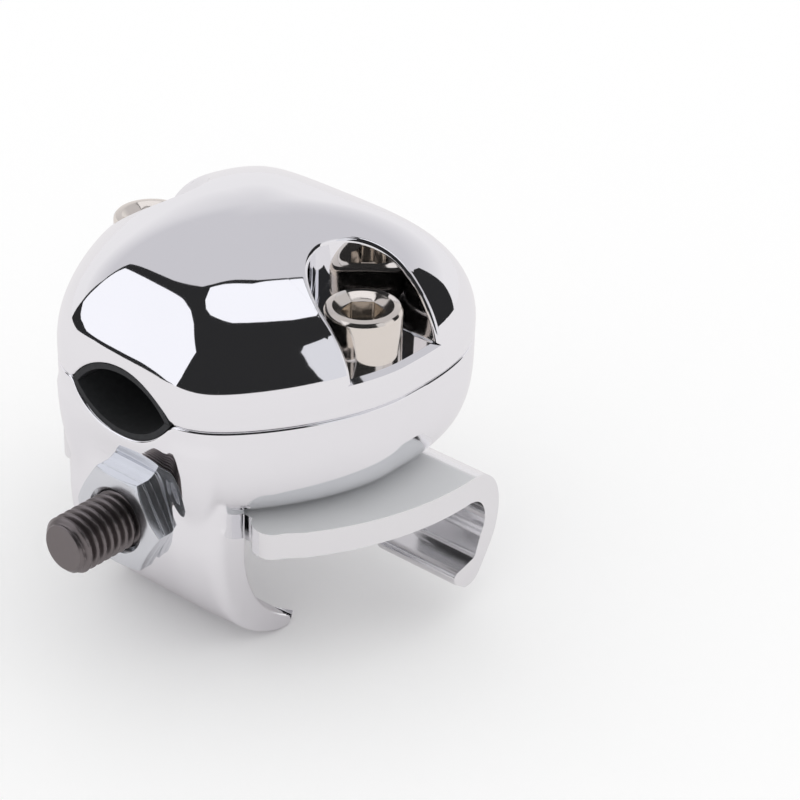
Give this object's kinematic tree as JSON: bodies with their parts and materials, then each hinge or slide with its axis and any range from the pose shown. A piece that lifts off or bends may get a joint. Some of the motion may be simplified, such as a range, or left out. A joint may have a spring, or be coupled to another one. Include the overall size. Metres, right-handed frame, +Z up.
{
  "type": "bar and rail clamp",
  "caption": "Domed two-part clamp that holds a round bar under a screwed cap and grips the edges of a flat rail between a hooked leg and a sliding claw.",
  "frame": {"origin": "on the split face, on the bar's centre line, midway between the cap screws", "axes": "+X to the right cap screw, +Y along the bar away from the stud's free end, +Z up out of the cap"},
  "size_m": [0.0586, 0.06, 0.0555],
  "materials": {
    "chrome_plate": "mirror polished chrome plate",
    "nickel_steel": "bright nickel plate",
    "zinc_steel": "clear zinc plate",
    "black_steel": "blackened steel, lightly oiled",
    "liner_rubber": "matt"
  },
  "bodies": {
    "base": {"base": "chrome_plate", "lower_liner": "liner_rubber"},
    "cap": {"cap": "chrome_plate", "upper_liner": "liner_rubber"},
    "right_cap_screw": {"right_cap_screw": "nickel_steel"},
    "left_cap_screw": {"left_cap_screw": "nickel_steel"},
    "claw": {"claw": "chrome_plate", "claw_stud": "black_steel"},
    "claw_nut": {"claw_nut": "zinc_steel"}
  },
  "joints": [
    {"name": "cap_lift", "type": "slide", "parent": "base", "child": "cap", "axis": [0, 0, 1], "range_m": [0, 0.008]},
    {"name": "right_screw_turn", "type": "hinge", "parent": "cap", "child": "right_cap_screw", "pos_m": [0.0189, 0, 0], "axis": [0, 0, 1], "range_deg": [0, 2881]},
    {"name": "left_screw_turn", "type": "hinge", "parent": "cap", "child": "left_cap_screw", "pos_m": [-0.0189, 0, 0], "axis": [0, 0, 1], "range_deg": [0, 2881]},
    {"name": "claw_slide", "type": "slide", "parent": "base", "child": "claw", "axis": [0, 1, 0], "range_m": [0, 0.009]},
    {"name": "nut_turn", "type": "hinge", "parent": "base", "child": "claw_nut", "pos_m": [0, -0.0248, -0.017], "axis": [0, -1, 0], "range_deg": [0, 2593]}
  ],
  "couplings": [
    {"joint": "right_screw_turn", "follows": "cap_lift", "rad_per_m": 6283.2},
    {"joint": "left_screw_turn", "follows": "cap_lift", "rad_per_m": 6283.2},
    {"joint": "nut_turn", "follows": "claw_slide", "rad_per_m": 5026.5}
  ]
}
